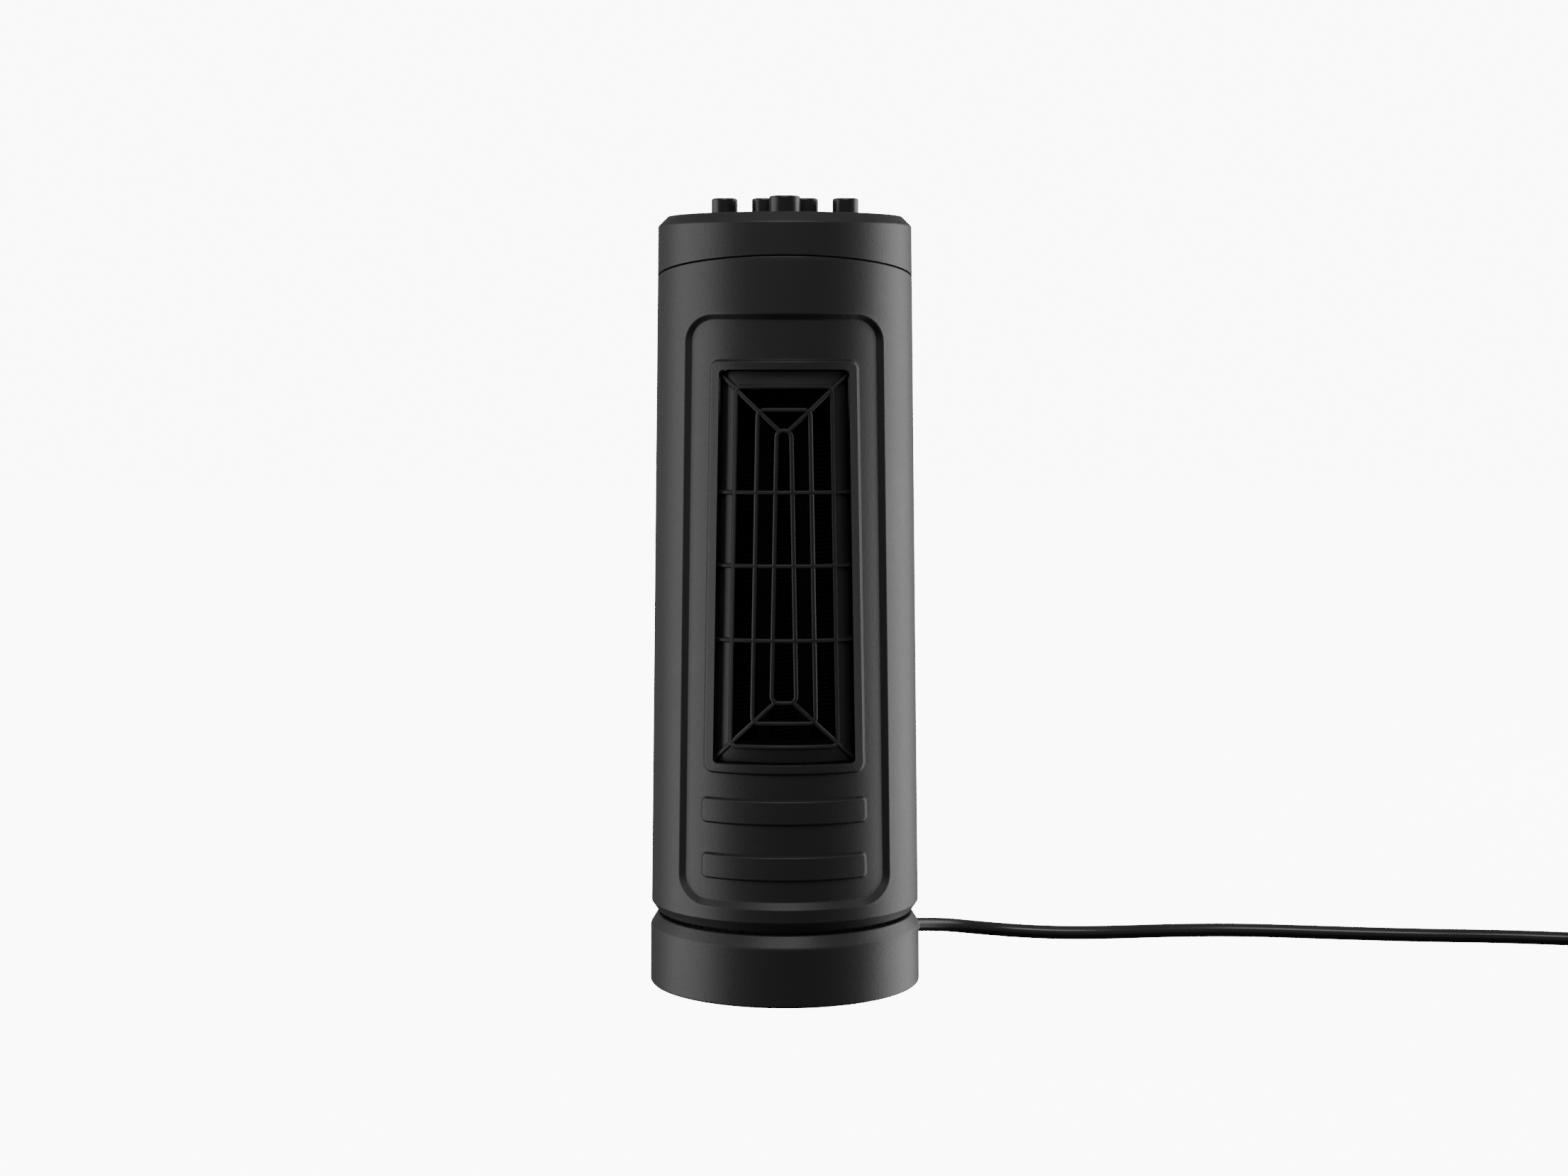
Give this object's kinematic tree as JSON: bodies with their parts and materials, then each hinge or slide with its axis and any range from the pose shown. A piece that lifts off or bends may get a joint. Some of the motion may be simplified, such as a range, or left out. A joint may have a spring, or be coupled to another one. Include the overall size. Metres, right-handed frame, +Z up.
{
  "type": "oscillating ceramic tower heater",
  "caption": "Slim matt black tower fan heater on a round swinging base, slotted front outlet, push keys and knob on the lid, mains lead with plug.",
  "frame": {"origin": "on the floor at the middle of the base, where the swing axis meets it", "axes": "+Z up the tower, -Y towards the front with the outlet, +X to the viewer's right from the front"},
  "size_m": [0.591, 0.1932, 0.3244],
  "materials": {
    "housing_black": "fine spark-eroded grain, matte",
    "grille_black": "fine matte grain",
    "key_black": "satin gloss",
    "rubber_black": "soft matte rubber",
    "screw_steel": "bright zinc",
    "bearing_nylon": "natural nylon",
    "shaft_steel": "ground steel",
    "zinc_plated": "zinc plated sheet",
    "lamination_steel": "stacked laminations",
    "enamelled_copper": "enamelled copper wire",
    "inner_black": "black moulding",
    "terminal_white": "white nylon",
    "switch_plastic": "dark grey phenolic",
    "heat_resistant_frame": "glass filled, black",
    "ptc_ceramic": "dark ceramic",
    "fin_aluminium": "black coated aluminium",
    "cutout_black": "phenolic",
    "fuse_steel": "tinned can",
    "cord_pvc": "black flexible PVC",
    "tie_black": "hook and loop strap",
    "nickel_pins": "nickel plated brass"
  },
  "bodies": {
    "base": {"base_shell": "housing_black", "base_plate": "housing_black", "rubber_feet": "rubber_black", "base_screws": "screw_steel", "pivot_bush": "bearing_nylon", "slip_ring": "bearing_nylon", "oscillation_motor": "zinc_plated", "motor_screws": "screw_steel", "terminal_block": "terminal_white", "cord_gland": "cord_pvc", "power_cord": "cord_pvc", "cord_coil": "cord_pvc", "cord_tie": "tie_black", "cord_tail": "cord_pvc", "plug_body": "cord_pvc", "plug_pins": "nickel_pins"},
    "crank": {"crank": "bearing_nylon", "crank_shaft": "shaft_steel"},
    "tower": {"swivel_plate": "inner_black", "yoke_plate": "bearing_nylon", "yoke_screws": "screw_steel", "floor_screws": "screw_steel", "front_housing": "housing_black", "rear_housing": "housing_black", "housing_screws": "screw_steel", "outlet_grille": "grille_black", "top_cap": "housing_black", "key_switch_block": "switch_plastic", "swing_switch": "switch_plastic", "switch_bracket": "zinc_plated", "bracket_screws": "screw_steel", "scroll_wall": "zinc_plated", "tongue_wall": "zinc_plated", "lower_end_plate": "zinc_plated", "upper_end_plate": "zinc_plated", "duct_screws": "screw_steel", "upper_bush": "bearing_nylon", "motor_lower_shield": "zinc_plated", "motor_upper_shield": "zinc_plated", "motor_stator": "lamination_steel", "motor_windings": "enamelled_copper", "fan_motor_screws": "screw_steel", "heater_frame": "heat_resistant_frame", "ptc_stones": "ptc_ceramic", "heater_fins": "fin_aluminium", "thermal_cutout": "cutout_black", "thermal_fuse": "fuse_steel", "tilt_switch": "switch_plastic", "wiring_loom": "cord_pvc"},
    "rotor": {"crossflow_wheel": "inner_black", "wheel_coupling": "rubber_black", "wheel_axle": "shaft_steel", "motor_rotor": "lamination_steel", "motor_shaft": "shaft_steel"},
    "key_1": {"key_1": "key_black"},
    "key_2": {"key_2": "key_black"},
    "key_3": {"key_3": "key_black"},
    "key_4": {"key_4": "key_black"},
    "swing_knob": {"swing_knob": "key_black"}
  },
  "joints": [
    {"name": "tower_swing", "type": "hinge", "parent": "base", "child": "tower", "pos_m": [0, 0, 0.03], "axis": [0, 0, 1], "range_deg": [-35, 35]},
    {"name": "crank_turn", "type": "hinge", "parent": "base", "child": "crank", "pos_m": [0, -0.02, 0.02], "axis": [0, 0, 1], "range_deg": [-105.5, 105.5]},
    {"name": "blower_spin", "type": "hinge", "parent": "tower", "child": "rotor", "pos_m": [0, 0.008, 0.1], "axis": [0, 0, 1], "continuous": true},
    {"name": "key_1_press", "type": "slide", "parent": "tower", "child": "key_1", "axis": [0, 0, 1], "range_m": [-0.004, 0], "stiffness_N_per_m": 250, "springref_m": 0.002},
    {"name": "key_2_press", "type": "slide", "parent": "tower", "child": "key_2", "axis": [0, 0, 1], "range_m": [-0.004, 0], "stiffness_N_per_m": 250, "springref_m": 0.002},
    {"name": "key_3_press", "type": "slide", "parent": "tower", "child": "key_3", "axis": [0, 0, 1], "range_m": [-0.004, 0], "stiffness_N_per_m": 250, "springref_m": 0.002},
    {"name": "key_4_press", "type": "slide", "parent": "tower", "child": "key_4", "axis": [0, 0, 1], "range_m": [-0.004, 0], "stiffness_N_per_m": 250, "springref_m": 0.002},
    {"name": "swing_knob_press", "type": "slide", "parent": "tower", "child": "swing_knob", "axis": [0, 0, 1], "range_m": [-0.004, 0], "stiffness_N_per_m": 250, "springref_m": 0.002}
  ],
  "couplings": [
    {"joint": "crank_turn", "follows": "tower_swing", "ratio": 3}
  ]
}
